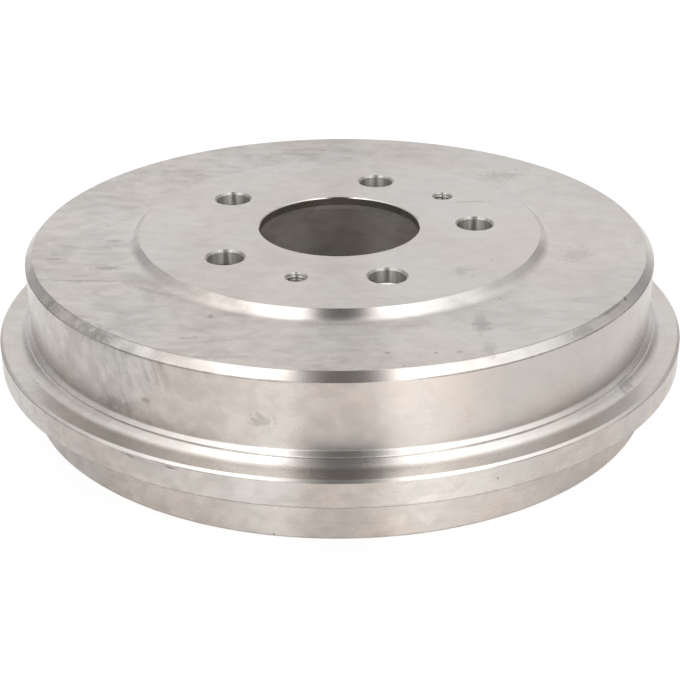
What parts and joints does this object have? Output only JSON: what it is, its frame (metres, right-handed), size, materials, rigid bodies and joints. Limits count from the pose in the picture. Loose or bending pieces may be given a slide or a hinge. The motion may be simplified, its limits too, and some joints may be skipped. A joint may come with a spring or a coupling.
{
  "type": "brake drum",
  "caption": "Cast iron rear brake drum, open below, with a raised wheel seat, central pilot bore, wheel bolt circle, threaded jacking holes and a stiffening flange round the wall.",
  "frame": {"origin": "centre of the open rim, at the bottom of the drum as it stands on a bench", "axes": "+Z along the axle line, from the open rim to the wheel seat; +X through the first wheel bolt hole"},
  "size_m": [0.272, 0.272, 0.0655],
  "materials": {
    "cast_iron": "bare turned grey iron, satin"
  },
  "bodies": {
    "root": {"brake_drum": "cast_iron"}
  },
  "joints": []
}
